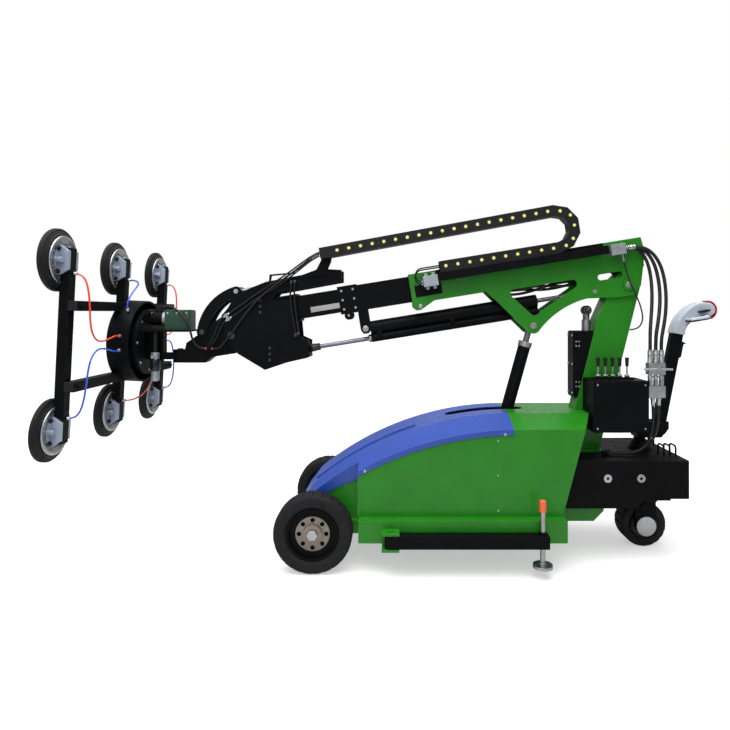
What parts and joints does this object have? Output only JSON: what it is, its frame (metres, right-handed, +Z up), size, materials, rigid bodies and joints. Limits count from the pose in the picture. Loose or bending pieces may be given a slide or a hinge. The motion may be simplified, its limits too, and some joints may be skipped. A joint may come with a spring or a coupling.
{
  "type": "vacuum glass lifting trolley",
  "caption": "Battery glazing robot: tiller-steered wheeled base, lifting telescopic boom and a rotating suction-cup frame for placing glass panes.",
  "frame": {"origin": "on the floor under the middle of the trolley's bounding box", "axes": "+X towards the tiller, -X towards the suction frame, -Y the control-box side, +Z up"},
  "size_m": [3.4845, 1.3858, 1.9041],
  "materials": {
    "green_paint": "gloss",
    "blue_paint": "gloss",
    "black_paint": "satin",
    "black_iron": "satin",
    "steel": "satin",
    "chrome": "polished",
    "silver_casting": "satin",
    "gearbox_green": "satin",
    "tyre": "matte",
    "cup_rubber": "matte",
    "black_plastic": "matte",
    "hose_rubber": "satin",
    "red_tube": "gloss",
    "blue_tube": "gloss"
  },
  "bodies": {
    "chassis": {"base_frame": "green_paint", "front_axle": "steel", "hood": "blue_paint", "body_panels": "green_paint", "rear_cover": "green_paint", "rear_housing": "black_iron", "counterweight_slabs": "black_iron", "mast": "green_paint", "electric_box": "black_paint", "control_box": "black_paint", "hydraulic_fittings": "steel", "battery_pack": "black_plastic", "hydraulic_power_unit": "silver_casting", "hydraulic_hoses": "hose_rubber"},
    "wheel_left": {"front_wheel_left": "tyre"},
    "wheel_right": {"front_wheel_right": "tyre"},
    "steering": {"drive_fork": "black_paint"},
    "drive_wheel": {"drive_wheel": "tyre"},
    "tiller": {"tiller_arm": "black_paint", "tiller_head": "black_plastic"},
    "tiller_button": {"tiller_button": "black_plastic"},
    "tiller_throttle": {"tiller_throttle": "black_plastic"},
    "stabilizer_left": {"stabilizer_beam_left": "black_paint"},
    "stabilizer_right": {"stabilizer_beam_right": "black_paint"},
    "jack_left": {"stabilizer_jack_left": "steel"},
    "jack_right": {"stabilizer_jack_right": "steel"},
    "boom": {"boom": "green_paint", "chain_tray": "black_paint", "boom_manifolds": "silver_casting", "extension_rod": "chrome", "drag_chain_lower": "black_plastic", "drag_chain_rear": "black_plastic"},
    "lift_rod": {"lift_rod": "chrome"},
    "lift_barrel": {"lift_barrel": "black_paint"},
    "section_1": {"boom_section_1": "black_paint", "extension_barrels": "black_paint", "drag_chain_front": "black_plastic"},
    "section_2": {"boom_section_2": "black_paint", "head_bracket": "black_paint", "head_rod": "chrome", "head_cables": "hose_rubber"},
    "tilt": {"tilt_bracket": "black_paint", "rotator_cables": "hose_rubber"},
    "tilt_link": {"tilt_link": "black_paint"},
    "tilt_rod": {"tilt_rod": "chrome"},
    "swing": {"swing_bracket": "black_paint", "rotator_motor": "gearbox_green", "vacuum_filter": "silver_casting"},
    "suction": {"rotator_drum": "black_paint", "frame_bars": "black_paint", "cup_rubbers": "cup_rubber", "cup_castings": "silver_casting", "red_tubes": "red_tube", "blue_tubes": "blue_tube"},
    "valve": {"valve_handle": "steel"},
    "lever_1": {"control_lever_1": "black_plastic"},
    "lever_2": {"control_lever_2": "black_plastic"},
    "lever_3": {"control_lever_3": "black_plastic"},
    "lever_4": {"control_lever_4": "black_plastic"},
    "lever_5": {"control_lever_5": "black_plastic"}
  },
  "joints": [
    {"name": "front_wheel_left_roll", "type": "hinge", "parent": "chassis", "child": "wheel_left", "pos_m": [-0.499, -0.354, 0.2], "axis": [0, 1, 0], "continuous": true},
    {"name": "front_wheel_right_roll", "type": "hinge", "parent": "chassis", "child": "wheel_right", "pos_m": [-0.499, 0.354, 0.2], "axis": [0, 1, 0], "continuous": true},
    {"name": "steering_swivel", "type": "hinge", "parent": "chassis", "child": "steering", "pos_m": [1.318, 0, 0.4], "axis": [0, 0, 1], "range_deg": [-40, 40]},
    {"name": "drive_wheel_roll", "type": "hinge", "parent": "steering", "child": "drive_wheel", "pos_m": [1.318, 0, 0.125], "axis": [0, 1, 0], "continuous": true},
    {"name": "tiller_tilt", "type": "hinge", "parent": "steering", "child": "tiller", "pos_m": [1.423, 0, 0.66], "axis": [0, 1, 0], "range_deg": [0, 60]},
    {"name": "tiller_button_press", "type": "slide", "parent": "tiller", "child": "tiller_button", "axis": [-0.9848, 0, -0.1736], "range_m": [0, 0.005], "stiffness_N_per_m": 900},
    {"name": "tiller_throttle_turn", "type": "hinge", "parent": "tiller", "child": "tiller_throttle", "pos_m": [1.6564, 0, 1.3249], "axis": [0, 1, 0], "range_deg": [-25, 25], "stiffness_Nm_per_rad": 0.8},
    {"name": "stabilizer_left_swing", "type": "hinge", "parent": "chassis", "child": "stabilizer_left", "pos_m": [-0.105, -0.424, 0.2], "axis": [0, 0, -1], "range_deg": [0, 100]},
    {"name": "stabilizer_right_swing", "type": "hinge", "parent": "chassis", "child": "stabilizer_right", "pos_m": [-0.105, 0.424, 0.2], "axis": [0, 0, 1], "range_deg": [0, 100]},
    {"name": "jack_left_slide", "type": "slide", "parent": "stabilizer_left", "child": "jack_left", "axis": [0, 0, -1], "range_m": [-0.06, 0.05]},
    {"name": "jack_right_slide", "type": "slide", "parent": "stabilizer_right", "child": "jack_right", "axis": [0, 0, -1], "range_m": [-0.06, 0.05]},
    {"name": "boom_lift", "type": "hinge", "parent": "chassis", "child": "boom", "pos_m": [1.222, 0, 1.472], "axis": [0, 1, 0], "range_deg": [-5, 45], "deforming": ["hydraulic_hoses"]},
    {"name": "lift_rod_hinge", "type": "hinge", "parent": "boom", "child": "lift_rod", "pos_m": [0.69076, 0, 1.24312], "axis": [0, 1, 0], "range_deg": [-53, 7]},
    {"name": "lift_barrel_slide", "type": "slide", "parent": "lift_rod", "child": "lift_barrel", "axis": [-0.2677, 0, -0.9635], "range_m": [-0.05, 0.41]},
    {"name": "section_1_slide", "type": "slide", "parent": "boom", "child": "section_1", "axis": [-0.9871, 0, -0.1599], "range_m": [-0.18, 0.5], "deforming": ["drag_chain_rear"]},
    {"name": "section_2_slide", "type": "slide", "parent": "section_1", "child": "section_2", "axis": [-0.9871, 0, -0.1599], "range_m": [-0.15, 0.35], "deforming": ["drag_chain_front"]},
    {"name": "head_tilt", "type": "hinge", "parent": "section_2", "child": "tilt", "pos_m": [-1, 0, 1.189], "axis": [0, -1, 0], "range_deg": [-40, 15], "deforming": ["head_cables"]},
    {"name": "tilt_link_hinge", "type": "hinge", "parent": "tilt", "child": "tilt_link", "pos_m": [-1.171, 0, 1.207], "axis": [0, -1, 0], "range_deg": [-7, 17]},
    {"name": "tilt_rod_slide", "type": "slide", "parent": "section_2", "child": "tilt_rod", "axis": [-0.9871, 0, -0.1599], "range_m": [-0.125, 0.05]},
    {"name": "head_swing", "type": "hinge", "parent": "tilt", "child": "swing", "pos_m": [-1.312, 0, 1.07], "axis": [0, 0, 1], "range_deg": [-20, 20], "deforming": ["rotator_cables"]},
    {"name": "head_rotate", "type": "hinge", "parent": "swing", "child": "suction", "pos_m": [-1.656, 0, 1.16], "axis": [-0.9989, 0, 0.0471], "continuous": true},
    {"name": "valve_handle_turn", "type": "hinge", "parent": "chassis", "child": "valve", "pos_m": [1.315, -0.2265, 1.016], "axis": [0, 1, 0], "range_deg": [0, 90]},
    {"name": "lever_1_tip", "type": "hinge", "parent": "chassis", "child": "lever_1", "pos_m": [1.026, -0.15, 0.9715], "axis": [1, 0, 0], "range_deg": [-20, 20], "stiffness_Nm_per_rad": 3},
    {"name": "lever_2_tip", "type": "hinge", "parent": "chassis", "child": "lever_2", "pos_m": [1.0655, -0.15, 0.9715], "axis": [1, 0, 0], "range_deg": [-20, 20], "stiffness_Nm_per_rad": 3},
    {"name": "lever_3_tip", "type": "hinge", "parent": "chassis", "child": "lever_3", "pos_m": [1.105, -0.15, 0.9715], "axis": [1, 0, 0], "range_deg": [-20, 20], "stiffness_Nm_per_rad": 3},
    {"name": "lever_4_tip", "type": "hinge", "parent": "chassis", "child": "lever_4", "pos_m": [1.1445, -0.15, 0.9715], "axis": [1, 0, 0], "range_deg": [-20, 20], "stiffness_Nm_per_rad": 3},
    {"name": "lever_5_tip", "type": "hinge", "parent": "chassis", "child": "lever_5", "pos_m": [1.184, -0.15, 0.9715], "axis": [1, 0, 0], "range_deg": [-20, 20], "stiffness_Nm_per_rad": 3}
  ],
  "couplings": [
    {"joint": "lift_rod_hinge", "follows": "boom_lift", "ratio": -1.155},
    {"joint": "lift_barrel_slide", "follows": "boom_lift", "m_per_rad": 0.5175},
    {"joint": "tilt_link_hinge", "follows": "head_tilt", "ratio": -0.41},
    {"joint": "tilt_rod_slide", "follows": "head_tilt", "m_per_rad": 0.172}
  ]
}
